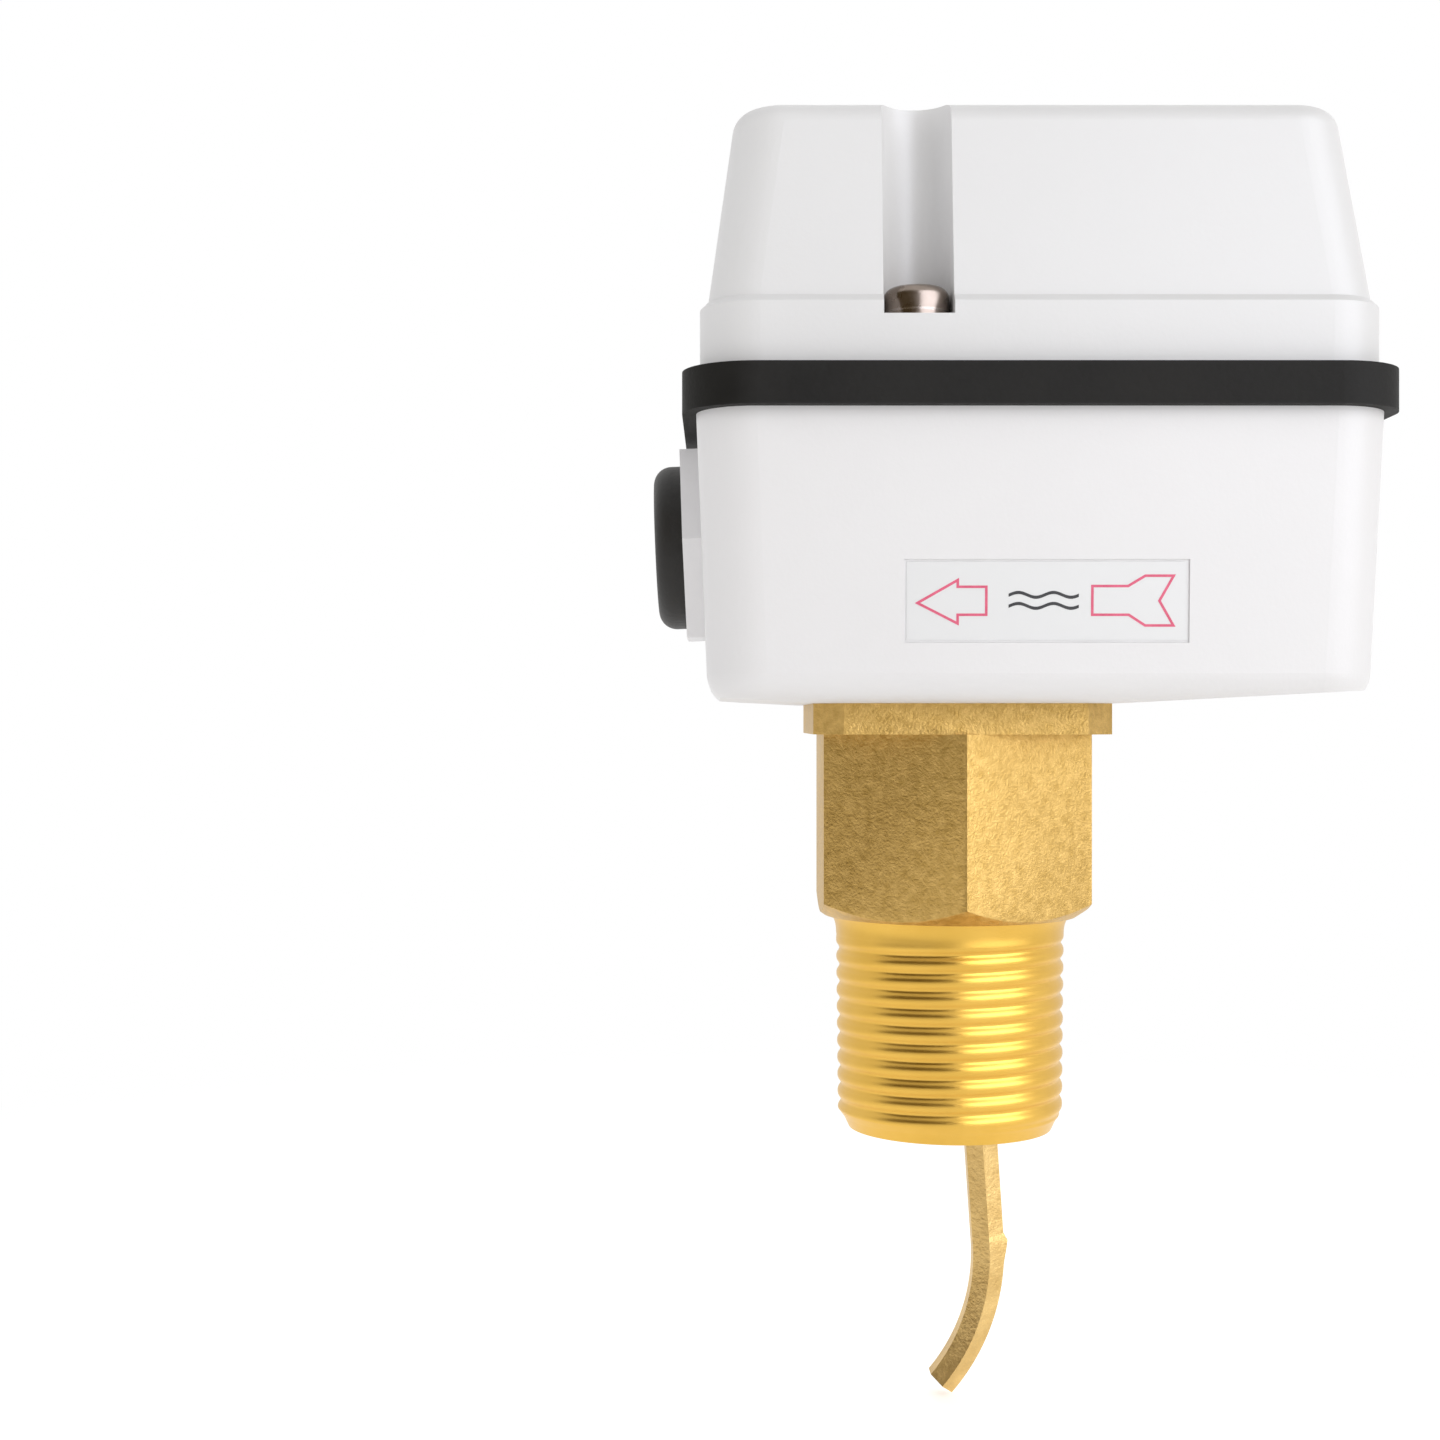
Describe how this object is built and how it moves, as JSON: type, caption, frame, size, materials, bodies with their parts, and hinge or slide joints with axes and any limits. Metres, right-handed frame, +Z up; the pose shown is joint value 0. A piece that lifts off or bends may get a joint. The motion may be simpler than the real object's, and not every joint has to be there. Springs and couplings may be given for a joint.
{
  "type": "paddle flow switch",
  "caption": "Paddle flow switch: plastic housing with lift-off cover on a brass hexagon and threaded pipe stub, with a curved lever in the flow that works a snap switch.",
  "frame": {"origin": "on the pipe thread's axis, at the lower shoulder of the hexagon where the thread begins", "axes": "+Z up along the thread's axis into the housing, -X the way the flow goes, +Y to the rear of the housing"},
  "size_m": [0.1003, 0.0718, 0.1809],
  "materials": {
    "brass": "forged hexagon and turned thread, unplated",
    "thin_brass": "drawn and formed sleeve",
    "steel": "nickel plated",
    "zinc_steel": "zinc plated strip",
    "rubber": "moulded, matt",
    "housing_plastic": "moulded, light grey white, satin",
    "white_plastic": "moulded nylon",
    "black_plastic": "moulded phenolic",
    "red_plastic": "moulded",
    "label": "printed film"
  },
  "bodies": {
    "root": {"brass_body": "brass", "flange_seal": "rubber", "pivot_pin": "steel", "bellows": "thin_brass", "base_housing": "housing_plastic", "flow_label": "label", "thread_inserts": "brass", "cover_gasket": "rubber", "flange_screws": "steel", "gland_body": "white_plastic", "gland_locknut": "white_plastic", "cable_grommet": "rubber", "switch_bracket": "zinc_steel", "bracket_screws": "steel", "microswitch_case": "black_plastic", "leaf_pin": "steel", "switch_terminals": "brass", "terminal_screws": "steel", "microswitch_screws": "steel", "earth_screw": "steel", "range_spring": "steel"},
    "lever": {"paddle_lever": "brass", "bellows_cap": "brass", "rocker_arm": "zinc_steel", "rocker_nut": "steel", "striker_screw": "steel", "striker_lock_nut": "steel", "spring_seat": "brass"},
    "leaf": {"switch_leaf": "steel"},
    "plunger": {"switch_plunger": "red_plastic"},
    "range_screw": {"range_screw": "steel"},
    "range_nut": {"range_nut": "brass"},
    "cover": {"top_cover": "housing_plastic", "cover_screws": "steel", "cover_screw_washers": "steel"}
  },
  "joints": [
    {"name": "lever_swing", "type": "hinge", "parent": "root", "child": "lever", "pos_m": [0, 0, 0.036], "axis": [0, 1, 0], "range_deg": [0, 7.6], "stiffness_Nm_per_rad": 0.5, "springref_deg": -5.73, "deforming": ["range_spring"]},
    {"name": "leaf_swing", "type": "hinge", "parent": "root", "child": "leaf", "pos_m": [0.038, 0, 0.05435], "axis": [0, -1, 0], "range_deg": [0, 7.2]},
    {"name": "plunger_travel", "type": "slide", "parent": "root", "child": "plunger", "axis": [0, 0, -1], "range_m": [0, 0.0016]},
    {"name": "range_screw_turn", "type": "hinge", "parent": "root", "child": "range_screw", "pos_m": [-0.0155, 0, 0.0815], "axis": [0, 0, 1], "range_deg": [-1080, 1080]},
    {"name": "range_nut_travel", "type": "slide", "parent": "root", "child": "range_nut", "axis": [0, 0, -1], "range_m": [-0.0022, 0.0022]},
    {"name": "cover_lift", "type": "slide", "parent": "root", "child": "cover", "axis": [0, 0, 1], "range_m": [0, 0.06]}
  ],
  "couplings": [
    {"joint": "leaf_swing", "follows": "lever_swing", "ratio": 0.91},
    {"joint": "plunger_travel", "follows": "lever_swing", "m_per_rad": 0.0101},
    {"joint": "range_nut_travel", "follows": "range_screw_turn", "m_per_rad": 0.00011141}
  ]
}
